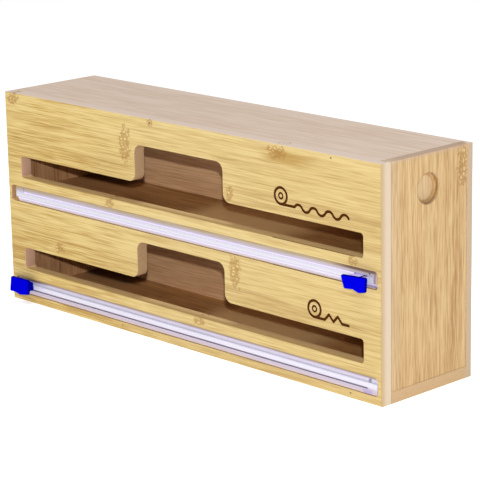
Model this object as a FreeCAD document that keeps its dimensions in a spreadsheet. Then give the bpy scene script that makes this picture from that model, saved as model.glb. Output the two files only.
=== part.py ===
import FreeCAD, Part
import math
import os

import Sketcher
from FreeCAD import Placement, Rotation, Vector

# A bamboo box that holds two kitchen rolls, one above the other, and cuts what comes off them.
# Frame: millimetres, X to the right along the box, Y to the back, Z up. The origin is the middle
# of the underside of the box. Every small part of a cutter is drawn about the line where its rail
# crosses the front face, so its own placement puts it on the upper or the lower rail.

doc = FreeCAD.newDocument("wrap_dispenser")
dims = doc.addObject("Spreadsheet::Sheet", "dims")

SIZES = (
    # the box
    ("box_length", 330.0),
    ("box_depth", 77.0),
    ("box_height", 139.0),
    ("front_board", 8.0),
    ("back_board", 5.0),
    ("base_board", 7.0),
    ("top_board", 7.0),
    ("left_board", 6.0),
    ("shelf_board", 6.0),
    ("shelf_top", 74.0),
    ("eased_edge", 0.8),
    # the lifting door at the right end
    ("door_board", 6.0),
    ("tongue_thick", 3.0),
    ("tongue_reach", 2.1),
    ("door_play", 0.3),
    ("door_edge", 0.4),
    ("recess_dia", 17.5),
    ("recess_deep", 3.2),
    ("recess_high", 118.8),
    ("recess_round", 1.2),
    # the two windows in the front board
    ("window_length", 302.0),
    ("window_height", 14.2),
    ("window_low", 22.5),
    ("window_pitch", 61.1),
    ("notch_length", 78.0),
    ("notch_rise", 23.7),
    ("notch_round", 5.5),
    ("window_round", 2.0),
    ("rim_round", 0.5),
    # the routed groove for each rail
    ("groove_length", 324.0),
    ("groove_height", 10.6),
    ("groove_deep", 3.4),
    ("groove_round", 2.2),
    ("rail_low", 10.4),
    ("level_pitch", 62.0),
    # the rail: an extruded track with a slit into a wider channel
    ("tape_thick", 0.4),
    ("tape_inset", 2.0),
    ("rail_length", 317.6),
    ("upper_short", 4.6),
    ("rail_height", 9.8),
    ("rail_proud", 0.3),
    ("flange_sunk", 1.2),
    ("step_up", 2.0),
    ("slit_drop", 1.5),
    ("slit_width", 0.9),
    ("channel_width", 3.6),
    ("channel_roof", 0.9),
    ("channel_floor", 2.3),
    ("lip_proud", 0.1),
    ("lip_sunk", 0.6),
    # the plug in each end of a rail
    ("plug_end", 2.8),
    ("plug_insert", 4.8),
    ("plug_round", 2.4),
    # the slide cutter
    ("grip_length", 19.4),
    ("lower_grip_shift", -1.8),
    ("upper_grip_shift", 0.0),
    ("lower_grip_top", 6.8),
    ("lower_grip_drop", 3.3),
    ("upper_grip_top", 2.3),
    ("upper_grip_drop", 6.2),
    ("grip_front", 7.0),
    ("grip_thick", 2.0),
    ("grip_lean", 1.5),
    ("wave_high", 0.8),
    ("wave_length", 4.0),
    ("grip_round", 0.7),
    ("saddle_length", 8.6),
    ("saddle_shift", 1.4),
    ("saddle_top", 4.2),
    ("saddle_gap", 0.3),
    ("web_thick", 0.3),
    ("web_length", 6.0),
    ("web_depth", 0.9),
    ("foot_play", 0.3),
    ("foot_length", 10.8),
    ("blade_thick", 0.2),
    ("blade_top", 5.0),
    ("blade_bottom", 10.4),
    ("blade_sunk", 1.1),
    ("blade_depth", 1.2),
    # brads and rail pins
    ("brad_dia", 1.2),
    ("brad_length", 22.0),
    ("brad_sunk", 0.2),
    ("brad_from_top", 2.0),
    ("brad_from_base", 3.1),
    ("pin_dia", 1.0),
    ("pin_head", 1.8),
    ("pin_head_thick", 0.5),
    ("pin_length", 5.0),
    ("pin_from_end", 3.6),
    ("pin_up", 3.1),
    # the two burned-in marks
    ("stroke", 1.7),
    ("burn_deep", 0.6),
    ("mark_height", 11.4),
    ("mark_low", 41.5),
    ("film_mark_left", 81.6),
    ("foil_mark_left", 107.5),
)

# Brad places: along the length, as seen in the front board; the back board has its own row.
FRONT_BRADS = (("top", -24.0), ("top", 127.0), ("base", -55.0), ("base", 141.0))
BACK_BRADS = (("top", -125.0), ("top", 0.0), ("top", 125.0),
              ("base", -125.0), ("base", 0.0), ("base", 125.0))

value = {}
for row, (alias, number) in enumerate(SIZES, start=1):
    dims.set("A%d" % row, alias)
    dims.set("B%d" % row, str(number))
    dims.setAlias("B%d" % row, alias)
    value[alias] = number
doc.recompute()

FRONT_FACE = "-dims.box_depth / 2"
FRONT_INSIDE = "(dims.front_board - dims.box_depth / 2)"
BACK_INSIDE = "(dims.box_depth / 2 - dims.back_board)"
RIGHT_END = "dims.box_length / 2"
DOOR_INSIDE = "(dims.box_length / 2 - dims.door_board)"
TONGUE_OUTSIDE = "(dims.box_length / 2 - dims.door_board + dims.tongue_thick)"
ROOF_UNDERSIDE = "(dims.box_height - dims.top_board)"

sub_parts = []


# ---------------------------------------------------------------- helpers

def origin_plane(body, role):
    for feature in body.Origin.OriginFeatures:
        if feature.Role == role:
            return feature
    raise ValueError(role)


def new_body(label):
    body = doc.addObject("PartDesign::Body", label)
    body.Label = label
    return body


def place(item, x="0", y="0", z="0"):
    for axis, expression in (("x", x), ("y", y), ("z", z)):
        item.setExpression("Placement.Base." + axis, expression)


def place_on_rail(item, level, x="0"):
    """Put a cutter part on its rail; the upper cutter is the lower one turned half round."""
    if level == "upper":
        item.Placement = Placement(Vector(), Rotation(Vector(0, 1, 0), 180))
    place(item, x, FRONT_FACE, level_expression("rail_low", level))


def new_sketch(body, role, offset="0"):
    sketch = body.newObject("Sketcher::SketchObject", body.Name + "_sketch")
    sketch.AttachmentSupport = [(origin_plane(body, role), "")]
    sketch.MapMode = "FlatFace"
    sketch.setExpression("AttachmentOffset.Base.z", offset)
    return sketch


def pin_point(sketch, geometry, position, x, y):
    """Fix a point of the sketch at two expressions, measured from the sketch's origin."""
    for kind, letter, expression in (("DistanceX", "x", x), ("DistanceY", "y", y)):
        index = sketch.addConstraint(Sketcher.Constraint(kind, -1, 1, geometry, position, 1.0))
        name = "%s%d" % (letter, index)
        sketch.renameConstraint(index, name)
        sketch.setExpression("Constraints." + name, expression)


def draw_outline(sketch, corners):
    """A closed outline of straight lines through corners given as pairs of expressions."""
    count = len(corners)
    first = sketch.GeometryCount
    turn = 2 * math.pi / count
    ring = [Vector(math.cos(turn * k), math.sin(turn * k), 0) for k in range(count)]
    for k in range(count):
        sketch.addGeometry(Part.LineSegment(ring[k], ring[(k + 1) % count]))
    for k in range(count):
        following = first + (k + 1) % count
        sketch.addConstraint(Sketcher.Constraint("Coincident", first + k, 2, following, 1))
    for k, (x, y) in enumerate(corners):
        pin_point(sketch, first + k, 1, x, y)


def draw_rectangle(sketch, x_low, x_high, y_low, y_high):
    draw_outline(sketch, ((x_low, y_low), (x_high, y_low), (x_high, y_high), (x_low, y_high)))


def draw_circle(sketch, x, y, diameter):
    geometry = sketch.addGeometry(Part.Circle(Vector(0, 0, 0), Vector(0, 0, 1), 1.0))
    pin_point(sketch, geometry, 3, x, y)
    index = sketch.addConstraint(Sketcher.Constraint("Diameter", geometry, 2.0))
    name = "d%d" % index
    sketch.renameConstraint(index, name)
    sketch.setExpression("Constraints." + name, diameter)


def pad(body, sketch, length, reverse=False):
    feature = body.newObject("PartDesign::Pad", body.Name + "_pad")
    feature.Profile = sketch
    feature.Reversed = reverse
    feature.setExpression("Length", length)
    doc.recompute()
    return feature


def pocket(body, sketch, depth, reverse=False):
    """Cut a pocket and make sure that it has taken material away."""
    before = body.Shape.Volume
    feature = body.newObject("PartDesign::Pocket", body.Name + "_pocket")
    feature.Profile = sketch
    feature.Reversed = reverse
    feature.setExpression("Length", depth)
    doc.recompute()
    if body.Shape.Volume > before - 1e-3:
        raise ValueError("a pocket in %s cut nothing" % body.Label)
    return feature


def round_edges(body, wanted, radius):
    """Round the edges of the body whose middle point and direction pass the test."""
    base = body.Tip
    names = []
    for index, edge in enumerate(base.Shape.Edges, start=1):
        middle = edge.valueAt((edge.FirstParameter + edge.LastParameter) / 2)
        along = edge.tangentAt((edge.FirstParameter + edge.LastParameter) / 2)
        if wanted(middle, along):
            names.append("Edge%d" % index)
    feature = body.newObject("PartDesign::Fillet", body.Name + "_round")
    feature.Base = (base, names)
    feature.setExpression("Radius", radius)
    doc.recompute()
    if "Invalid" in feature.State:
        raise ValueError("%s could not be rounded at %s" % (body.Label, names))
    return feature


def board(label, x_low, x_high, y_low, y_high, z_low, z_high):
    """A plain board between three pairs of expressions."""
    body = new_body(label)
    sketch = new_sketch(body, "XY_Plane", z_low)
    draw_rectangle(sketch, x_low, x_high, y_low, y_high)
    pad(body, sketch, "%s - (%s)" % (z_high, z_low))
    return body


def near(a, b):
    return abs(a - b) < 1e-4


# ---------------------------------------------------------------- the burned-in marks

def ring(x, z, radius, stroke, depth):
    """A ring, or a dot where the stroke is twice the radius, standing along Y."""
    along = Vector(0, 1, 0)
    outer = Part.makeCylinder(radius + stroke / 2, depth, Vector(x, 0, z), along)
    if radius <= stroke / 2:
        return outer
    return outer.cut(Part.makeCylinder(radius - stroke / 2, depth, Vector(x, 0, z), along))


def line_stroke(start, end, stroke, depth):
    """A straight stroke with round ends from one (x, z) point to the next."""
    run = math.hypot(end[0] - start[0], end[1] - start[1])
    slope = math.degrees(math.atan2(end[1] - start[1], end[0] - start[0]))
    bar = Part.makeBox(run, depth, stroke, Vector(0, 0, -stroke / 2))
    for x in (0, run):
        bar = bar.fuse(Part.makeCylinder(stroke / 2, depth, Vector(x, 0, 0), Vector(0, 1, 0)))
    bar.Placement = Placement(Vector(start[0], 0, start[1]), Rotation(Vector(0, 1, 0), -slope))
    return bar


def arc_stroke(centre, radius, from_deg, sweep_deg, stroke, depth):
    """A round stroke about centre, from one angle above +X through a sweep."""
    outer = Part.makeCylinder(radius + stroke / 2, depth, Vector(0, 0, 0), Vector(0, 0, 1), sweep_deg)
    inner = Part.makeCylinder(radius - stroke / 2, depth)
    band = outer.cut(inner)
    band.rotate(Vector(0, 0, 0), Vector(0, 0, 1), from_deg)
    band.rotate(Vector(0, 0, 0), Vector(1, 0, 0), 90)
    band.translate(Vector(centre[0], depth, centre[1]))
    return band


def roll_strokes(left, low, stroke, height, depth):
    """The end of a roll: an outer ring and a core, and where its sheet leaves it."""
    radius = (height - stroke) / 2
    x = left + height / 2
    z = low + height / 2
    return x, z - radius, [ring(x, z, radius, stroke, depth), ring(x, z, radius / 3, stroke * 0.7, depth)]


def film_mark(left, low, stroke, height, depth):
    """A roll whose sheet runs off in soft waves."""
    x, z, strokes = roll_strokes(left, low, stroke, height, depth)
    straight = 11.0
    half_wave = 6.0
    half_waves = 7
    sweep = 120.0
    strokes.append(line_stroke((x, z), (x + straight, z), stroke, depth))
    radius = half_wave / 2 / math.sin(math.radians(sweep / 2))
    rise = radius * math.cos(math.radians(sweep / 2))
    crest = z
    x += straight
    for number in range(half_waves):
        middle = x + half_wave / 2
        if number % 2 == 0:
            wave = arc_stroke((middle, crest - rise), radius, 90 - sweep / 2, sweep, stroke, depth)
        else:
            wave = arc_stroke((middle, crest + rise), radius, 270 - sweep / 2, sweep, stroke, depth)
        strokes.append(wave)
        x += half_wave
        strokes.append(ring(x, crest, 0, stroke, depth))
    return strokes[0].fuse(strokes[1:])


def foil_mark(left, low, stroke, height, depth):
    """A roll whose sheet runs off in sharp creases."""
    x, z, strokes = roll_strokes(left, low, stroke, height, depth)
    steps = ((8.0, 0.0), (3.4, 3.6), (3.4, -3.6), (3.4, 3.6), (3.4, -3.6), (5.0, 0.0))
    point = (x, z)
    for across, up in steps:
        following = (point[0] + across, point[1] + up)
        strokes.append(line_stroke(point, following, stroke, depth))
        point = following
    return strokes[0].fuse(strokes[1:])


# ---------------------------------------------------------------- the wooden box

def level_expression(low, level, pitch="level_pitch"):
    """A height on the lower level, or the same one pitch further up."""
    if level == "upper":
        return "(dims.%s + dims.%s)" % (low, pitch)
    return "dims.%s" % low


def brad_row(places):
    """Brad places as pairs of expressions: along the board and up it."""
    heights = {"top": "(dims.box_height - dims.brad_from_top)", "base": "dims.brad_from_base"}
    return [(str(along), heights[edge]) for edge, along in places]


def make_front_panel():
    body = new_body("front_panel_board")
    sketch = new_sketch(body, "XZ_Plane", "-" + FRONT_INSIDE)
    draw_rectangle(sketch, "-" + RIGHT_END, RIGHT_END, "0", "dims.box_height")
    pad(body, sketch, "dims.front_board")

    def outer_edge(middle, along):
        return near(middle.y, -value["box_depth"] / 2)

    round_edges(body, outer_edge, "dims.eased_edge")

    for level in ("upper", "lower"):
        sill = level_expression("window_low", level, "window_pitch")
        slot_top = "(%s + dims.window_height)" % sill
        notch_top = "(%s + dims.notch_rise)" % slot_top
        half = "dims.window_length / 2"
        notch = "dims.notch_length / 2"
        sketch = new_sketch(body, "XZ_Plane", "dims.box_depth / 2")
        draw_outline(sketch, (("-" + half, sill), (half, sill), (half, slot_top), (notch, slot_top),
                              (notch, notch_top), ("-" + notch, notch_top), ("-" + notch, slot_top),
                              ("-" + half, slot_top)))
        pocket(body, sketch, "dims.front_board")

    half_window = value["window_length"] / 2
    half_notch = value["notch_length"] / 2

    def notch_corner(middle, along):
        return near(abs(along.y), 1) and near(abs(middle.x), half_notch)

    def window_corner(middle, along):
        return near(abs(along.y), 1) and near(abs(middle.x), half_window)

    round_edges(body, notch_corner, "dims.notch_round")
    round_edges(body, window_corner, "dims.window_round")

    def window_rim(middle, along):
        inside_ends = abs(middle.x) < value["box_length"] / 2 - 2 * value["eased_edge"]
        inside_height = 2 * value["eased_edge"] < middle.z < value["box_height"] - 2 * value["eased_edge"]
        return near(middle.y, -value["box_depth"] / 2) and inside_ends and inside_height

    round_edges(body, window_rim, "dims.rim_round")

    for level in ("upper", "lower"):
        middle = level_expression("rail_low", level)
        sketch = new_sketch(body, "XZ_Plane", "dims.box_depth / 2")
        draw_rectangle(sketch, "-dims.groove_length / 2", "dims.groove_length / 2",
                       "%s - dims.groove_height / 2" % middle, "%s + dims.groove_height / 2" % middle)
        pocket(body, sketch, "dims.groove_deep")

    def groove_corner(middle, along):
        return near(abs(along.y), 1) and near(abs(middle.x), value["groove_length"] / 2)

    round_edges(body, groove_corner, "dims.groove_round")

    # the stopped groove that the door's front tongue slides in
    sketch = new_sketch(body, "XY_Plane", "dims.box_height")
    draw_rectangle(sketch, DOOR_INSIDE + " - dims.door_play", TONGUE_OUTSIDE + " + dims.door_play",
                   FRONT_INSIDE + " - dims.tongue_reach - dims.door_play", FRONT_INSIDE)
    pocket(body, sketch, "dims.box_height - dims.base_board")

    sketch = new_sketch(body, "XZ_Plane", "dims.box_depth / 2")
    for x, z in brad_row(FRONT_BRADS):
        draw_circle(sketch, x, z, "dims.brad_dia")
    pocket(body, sketch, "dims.front_board")

    sketch = new_sketch(body, "XZ_Plane", "dims.box_depth / 2")
    for x, z in pin_places():
        draw_circle(sketch, x, z, "dims.pin_dia")
    pocket(body, sketch, "dims.pin_length + dims.flange_sunk")

    marks = doc.addObject("Part::Feature", "burned_marks")
    face = -value["box_depth"] / 2
    depth = value["burn_deep"]
    low = value["mark_low"]
    high = low + value["level_pitch"]
    film = film_mark(value["film_mark_left"], high, value["stroke"], value["mark_height"], depth)
    foil = foil_mark(value["foil_mark_left"], low, value["stroke"], value["mark_height"], depth)
    marks.Shape = Part.makeCompound([film, foil])
    marks.Placement = Placement(Vector(0, face, 0), Rotation())

    panel = doc.addObject("Part::Cut", "front_panel")
    panel.Label = "front_panel"
    panel.Base = body
    panel.Tool = marks
    sub_parts.append(panel)


def make_back_panel():
    body = new_body("back_panel")
    sketch = new_sketch(body, "XZ_Plane", "-dims.box_depth / 2")
    draw_rectangle(sketch, "-" + RIGHT_END, RIGHT_END, "0", "dims.box_height")
    pad(body, sketch, "dims.back_board")

    def outer_edge(middle, along):
        return near(middle.y, value["box_depth"] / 2)

    round_edges(body, outer_edge, "dims.eased_edge")

    sketch = new_sketch(body, "XY_Plane", "dims.box_height")
    draw_rectangle(sketch, DOOR_INSIDE + " - dims.door_play", TONGUE_OUTSIDE + " + dims.door_play",
                   BACK_INSIDE, BACK_INSIDE + " + dims.tongue_reach + dims.door_play")
    pocket(body, sketch, "dims.box_height - dims.base_board")

    sketch = new_sketch(body, "XZ_Plane", "-" + BACK_INSIDE)
    for x, z in brad_row(BACK_BRADS):
        draw_circle(sketch, x, z, "dims.brad_dia")
    pocket(body, sketch, "dims.back_board")
    sub_parts.append(body)


def drill_for_brads(body, edge):
    """Holes in a board's front and back edges, one for each brad that is driven into it."""
    reach_front = "dims.brad_length + dims.brad_sunk - dims.front_board"
    reach_back = "dims.brad_length + dims.brad_sunk - dims.back_board"
    sides = ((FRONT_BRADS, "-" + FRONT_INSIDE, False, reach_front),
             (BACK_BRADS, "-" + BACK_INSIDE, True, reach_back))
    for places, offset, reverse, reach in sides:
        sketch = new_sketch(body, "XZ_Plane", offset)
        for x, z in brad_row([place for place in places if place[0] == edge]):
            draw_circle(sketch, x, z, "dims.brad_dia")
        pocket(body, sketch, reach, reverse=reverse)


def make_boards():
    base = board("base_board", "-" + RIGHT_END, RIGHT_END, FRONT_INSIDE, BACK_INSIDE,
                 "0", "dims.base_board")
    drill_for_brads(base, "base")
    beside_door = DOOR_INSIDE + " - dims.door_play"
    top = board("top_board", "-" + RIGHT_END, beside_door, FRONT_INSIDE, BACK_INSIDE,
                ROOF_UNDERSIDE, "dims.box_height")
    drill_for_brads(top, "top")
    left = board("left_side_panel", "-" + RIGHT_END, "dims.left_board - dims.box_length / 2",
                 FRONT_INSIDE, BACK_INSIDE, "dims.base_board", ROOF_UNDERSIDE)
    shelf = board("middle_shelf", "dims.left_board - dims.box_length / 2", beside_door,
                  FRONT_INSIDE, BACK_INSIDE, "dims.shelf_top - dims.shelf_board", "dims.shelf_top")
    sub_parts.extend((base, top, left, shelf))


def make_side_door():
    body = new_body("side_door")
    sketch = new_sketch(body, "XY_Plane", "dims.base_board")
    front = "(%s + dims.door_play)" % FRONT_INSIDE
    back = "(%s - dims.door_play)" % BACK_INSIDE
    front_tongue = "%s - dims.tongue_reach" % FRONT_INSIDE
    back_tongue = "%s + dims.tongue_reach" % BACK_INSIDE
    draw_outline(sketch, ((DOOR_INSIDE, front_tongue), (TONGUE_OUTSIDE, front_tongue),
                          (TONGUE_OUTSIDE, front), (RIGHT_END, front),
                          (RIGHT_END, back), (TONGUE_OUTSIDE, back),
                          (TONGUE_OUTSIDE, back_tongue), (DOOR_INSIDE, back_tongue)))
    pad(body, sketch, "dims.box_height - dims.base_board")

    def outer_edge(middle, along):
        return near(middle.x, value["box_length"] / 2)

    round_edges(body, outer_edge, "dims.door_edge")

    sketch = new_sketch(body, "YZ_Plane", RIGHT_END)
    draw_circle(sketch, "0", "dims.recess_high", "dims.recess_dia")
    pocket(body, sketch, "dims.recess_deep")

    floor = value["box_length"] / 2 - value["recess_deep"]

    def recess_floor(middle, along):
        return near(middle.x, floor)

    def recess_rim(middle, along):
        from_centre = math.hypot(middle.y, middle.z - value["recess_high"])
        return near(middle.x, value["box_length"] / 2) and near(from_centre, value["recess_dia"] / 2)

    round_edges(body, recess_floor, "dims.recess_round")
    round_edges(body, recess_rim, "dims.rim_round")
    sub_parts.append(body)


# ---------------------------------------------------------------- rails

NEAR_END = "-dims.rail_length / 2"


def far_end(level):
    """The end of a rail that is away from its slider, as drawn; the upper rail is cut shorter there."""
    if level == "upper":
        return "(dims.rail_length / 2 - dims.upper_short)"
    return "(dims.rail_length / 2)"


def pins_along(level):
    """Where the two pins of a rail are along it, as drawn."""
    return (NEAR_END + " + dims.pin_from_end", far_end(level) + " - dims.pin_from_end")


def pin_places():
    """The four rail pins as pairs of expressions: along the box and up it."""
    places = []
    for level, turn in (("upper", "-"), ("lower", "")):
        height = level_expression("rail_low", level) + " + dims.pin_up"
        for along in pins_along(level):
            places.append(("%s(%s)" % (turn, along), height))
    return places


def pin_line(level):
    """The pins' height in a part's own sketch; they are above the middle on both rails."""
    if level == "upper":
        return "-dims.pin_up"
    return "dims.pin_up"


def drill_pin(body, level, along):
    """A hole for one rail pin and, on the turned rail, a wider one that its head sinks into."""
    sketch = new_sketch(body, "XZ_Plane", "dims.rail_proud")
    draw_circle(sketch, along, pin_line(level), "dims.pin_dia")
    pocket(body, sketch, "dims.rail_proud + dims.groove_deep")
    if level == "upper":
        sketch = new_sketch(body, "XZ_Plane", "dims.rail_proud")
        draw_circle(sketch, along, pin_line(level), "dims.pin_head")
        pocket(body, sketch, "dims.rail_proud + dims.flange_sunk")


BACK = "(dims.groove_deep - dims.tape_thick)"
TOP = "dims.rail_height / 2"
SLIT_UP = "(dims.slit_width / 2 - dims.slit_drop)"
SLIT_DOWN = "(-dims.slit_width / 2 - dims.slit_drop)"
CHANNEL_UP = "(dims.channel_width / 2 - dims.slit_drop)"
CHANNEL_DOWN = "(-dims.channel_width / 2 - dims.slit_drop)"


def make_rail(level):
    body = new_body(level + "_cutter_rail")
    sketch = new_sketch(body, "YZ_Plane", NEAR_END)
    draw_outline(sketch, ((BACK, TOP), ("dims.flange_sunk", TOP), ("dims.flange_sunk", "dims.step_up"),
                          ("-dims.rail_proud", "dims.step_up"), ("-dims.rail_proud", SLIT_UP),
                          ("dims.channel_roof", SLIT_UP), ("dims.channel_roof", CHANNEL_UP),
                          ("dims.channel_floor", CHANNEL_UP), ("dims.channel_floor", CHANNEL_DOWN),
                          ("dims.channel_roof", CHANNEL_DOWN), ("dims.channel_roof", SLIT_DOWN),
                          ("-dims.lip_proud", SLIT_DOWN), ("dims.lip_sunk", "-" + TOP), (BACK, "-" + TOP)))
    pad(body, sketch, far_end(level) + " + dims.rail_length / 2")
    for along in pins_along(level):
        drill_pin(body, level, along)
    place_on_rail(body, level)
    sub_parts.append(body)


def make_plug(level, side):
    """An end plug; on the upper rail, turned half round, it is drawn at the other end."""
    body = new_body("%s_rail_%s_plug" % (level, side))
    drawn_left = (side == "left") != (level == "upper")
    start = far_end(level) + " - dims.plug_insert"
    if drawn_left:
        start = NEAR_END
    sketch = new_sketch(body, "YZ_Plane", start)
    draw_outline(sketch, (("-dims.lip_proud", SLIT_UP), ("dims.channel_roof", SLIT_UP),
                          ("dims.channel_roof", CHANNEL_UP), ("dims.channel_floor", CHANNEL_UP),
                          ("dims.channel_floor", CHANNEL_DOWN), ("dims.channel_roof", CHANNEL_DOWN),
                          ("dims.channel_roof", SLIT_DOWN), ("-dims.lip_proud", SLIT_DOWN)))
    pad(body, sketch, "dims.plug_insert")
    if level == "upper":
        drill_pin(body, level, pins_along(level)[0 if drawn_left else 1])
    start = far_end(level)
    if drawn_left:
        start = NEAR_END + " - dims.plug_end"
    sketch = new_sketch(body, "YZ_Plane", start)
    draw_outline(sketch, ((BACK, TOP), ("dims.flange_sunk", TOP), ("dims.flange_sunk", "dims.step_up"),
                          ("-dims.rail_proud", "dims.step_up"), ("-dims.rail_proud", SLIT_UP),
                          ("-dims.lip_proud", SLIT_DOWN), ("dims.lip_sunk", "-" + TOP), (BACK, "-" + TOP)))
    pad(body, sketch, "dims.plug_end")
    outside = value["rail_length"] / 2 + value["plug_end"]
    if level == "upper" and not drawn_left:
        outside = outside - value["upper_short"]

    def end_corner(middle, along):
        return near(abs(middle.x), outside) and near(abs(along.y), 1) \
            and near(abs(middle.z), value["rail_height"] / 2)

    round_edges(body, end_corner, "dims.plug_round")
    place_on_rail(body, level)
    sub_parts.append(body)


def make_tape(level):
    """The strip of sticky tape between a rail and its groove."""
    body = new_body(level + "_rail_tape")
    sketch = new_sketch(body, "XZ_Plane", "-dims.groove_deep")
    draw_rectangle(sketch, NEAR_END + " + dims.tape_inset", far_end(level) + " - dims.tape_inset",
                   "-dims.rail_height / 2", "dims.rail_height / 2")
    pad(body, sketch, "dims.tape_thick")
    for along in pins_along(level):
        sketch = new_sketch(body, "XZ_Plane", "dims.tape_thick - dims.groove_deep")
        draw_circle(sketch, along, pin_line(level), "dims.pin_dia")
        pocket(body, sketch, "dims.tape_thick")
    place_on_rail(body, level)
    sub_parts.append(body)


# ---------------------------------------------------------------- the slide cutters

def slider_place(level):
    """The sliders rest at opposite ends, each with its foot against a plug."""
    end = "(dims.rail_length / 2 - dims.plug_insert - dims.foot_length / 2)"
    if level == "lower":
        return "-" + end
    return end


WEB_DOWN = "(-dims.slit_drop - (dims.web_thick + dims.blade_thick) / 2)"
WEB_UP = "(-dims.slit_drop - (dims.web_thick + dims.blade_thick) / 2 + dims.web_thick)"


def grip_outline(level):
    """The thumb plate as seen from the front: straight on top, with a wave in its bottom edge."""
    middle = "dims.%s_grip_shift" % level
    left = middle + " - dims.grip_length / 2"
    right = middle + " + dims.grip_length / 2"
    wave_left = middle + " - dims.wave_length / 2"
    wave_right = middle + " + dims.wave_length / 2"
    top = "dims.%s_grip_top" % level
    bottom = "-dims.%s_grip_drop" % level
    if level == "lower":
        left_top = left + " + dims.grip_lean"
        left_bottom = left
        right_bottom = right + " - dims.grip_lean"
    else:
        left_top = left
        left_bottom = left + " + 1.5 * dims.grip_lean"
        right_bottom = right
    return ((left_bottom, bottom), (wave_left, bottom), (wave_right, bottom + " - dims.wave_high"),
            (right_bottom, bottom + " - dims.wave_high"), (right, top), (left_top, top))


def make_grip(level):
    body = new_body(level + "_slider_grip")
    sketch = new_sketch(body, "XZ_Plane", "dims.grip_front - dims.grip_thick")
    corners = grip_outline(level)
    if level == "upper":
        corners = [("-(%s)" % x, "-(%s)" % z) for x, z in corners]
    draw_outline(sketch, corners)
    pad(body, sketch, "dims.grip_thick")

    face = -value["grip_front"]

    def front_corner(middle, along):
        return near(abs(along.y), 1)

    def front_rim(middle, along):
        return near(middle.y, face)

    round_edges(body, front_corner, "dims.grip_round")
    round_edges(body, front_rim, "dims.grip_round")

    sketch = new_sketch(body, "XZ_Plane", "dims.rail_proud + dims.saddle_gap")
    draw_rectangle(sketch, "dims.saddle_shift - dims.saddle_length / 2",
                   "dims.saddle_shift + dims.saddle_length / 2",
                   WEB_UP + " + dims.blade_thick", "dims.saddle_top")
    pad(body, sketch, "dims.grip_front - dims.grip_thick - dims.rail_proud - dims.saddle_gap")

    # slots that the web and the blade are pushed into
    sketch = new_sketch(body, "XZ_Plane", "dims.grip_front - dims.grip_thick")
    draw_rectangle(sketch, "-dims.web_length / 2", "dims.web_length / 2", WEB_DOWN, WEB_UP)
    pocket(body, sketch, "dims.web_depth", reverse=True)
    sketch = new_sketch(body, "XZ_Plane", "dims.grip_front - dims.grip_thick")
    draw_rectangle(sketch, "-dims.blade_top / 2", "dims.blade_top / 2",
                   WEB_UP, WEB_UP + " + dims.blade_thick")
    pocket(body, sketch, "dims.blade_depth", reverse=True)
    place_on_rail(body, level, slider_place(level))
    sub_parts.append(body)


def make_shoe(level):
    body = new_body(level + "_slider_shoe")
    sketch = new_sketch(body, "XZ_Plane", "dims.foot_play - dims.channel_floor")
    draw_rectangle(sketch, "-dims.foot_length / 2", "dims.foot_length / 2",
                   CHANNEL_DOWN + " + dims.foot_play", CHANNEL_UP + " - dims.foot_play")
    pad(body, sketch, "dims.channel_floor - dims.channel_roof - 2 * dims.foot_play")
    sketch = new_sketch(body, "XZ_Plane", "-dims.channel_roof - dims.foot_play")
    draw_rectangle(sketch, "-dims.web_length / 2", "dims.web_length / 2", WEB_DOWN, WEB_UP)
    behind_grip = "dims.channel_roof + dims.foot_play + dims.grip_front - dims.grip_thick"
    pad(body, sketch, behind_grip + " + dims.web_depth")
    place_on_rail(body, level, slider_place(level))
    sub_parts.append(body)


def make_blade(level):
    """A steel trapezium whose two slanted ends are the cutting edges."""
    body = new_body(level + "_slider_blade")
    sketch = new_sketch(body, "XY_Plane", WEB_UP)
    outer = "-(dims.grip_front - dims.grip_thick + dims.blade_depth)"
    inner = "dims.blade_sunk"
    shoulder = "-(dims.grip_front - dims.grip_thick)"
    half_top = "dims.blade_top / 2"
    half_bottom = "dims.blade_bottom / 2"
    draw_outline(sketch, (("-" + half_top, outer), (half_top, outer), (half_top, shoulder),
                          (half_bottom, inner), ("-" + half_bottom, inner), ("-" + half_top, shoulder)))
    pad(body, sketch, "dims.blade_thick")
    place_on_rail(body, level, slider_place(level))
    sub_parts.append(body)


# ---------------------------------------------------------------- brads and pins

def make_brads(label, places, sink_from, reverse):
    """Headless steel brads, driven just under the face of a board."""
    body = new_body(label)
    sketch = new_sketch(body, "XZ_Plane", sink_from)
    for x, z in brad_row(places):
        draw_circle(sketch, x, z, "dims.brad_dia")
    body.AllowCompound = True
    pad(body, sketch, "dims.brad_length", reverse=reverse)
    sub_parts.append(body)


def make_rail_pins():
    body = new_body("rail_pins")
    body.AllowCompound = True
    seat = "(dims.box_depth / 2 - dims.flange_sunk)"
    sketch = new_sketch(body, "XZ_Plane", seat)
    for x, z in pin_places():
        draw_circle(sketch, x, z, "dims.pin_dia")
    pad(body, sketch, "dims.pin_length", reverse=True)
    sketch = new_sketch(body, "XZ_Plane", seat)
    for x, z in pin_places():
        draw_circle(sketch, x, z, "dims.pin_head")
    pad(body, sketch, "dims.pin_head_thick")
    sub_parts.append(body)


# ---------------------------------------------------------------- build

make_front_panel()
make_back_panel()
make_boards()
make_side_door()
for level in ("upper", "lower"):
    make_rail(level)
    for side in ("left", "right"):
        make_plug(level, side)
    make_tape(level)
    make_grip(level)
    make_shoe(level)
    make_blade(level)
make_brads("front_brads", FRONT_BRADS, "dims.box_depth / 2 - dims.brad_sunk", True)
make_brads("back_brads", BACK_BRADS, "dims.brad_sunk - dims.box_depth / 2", False)
make_rail_pins()
doc.recompute()

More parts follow.
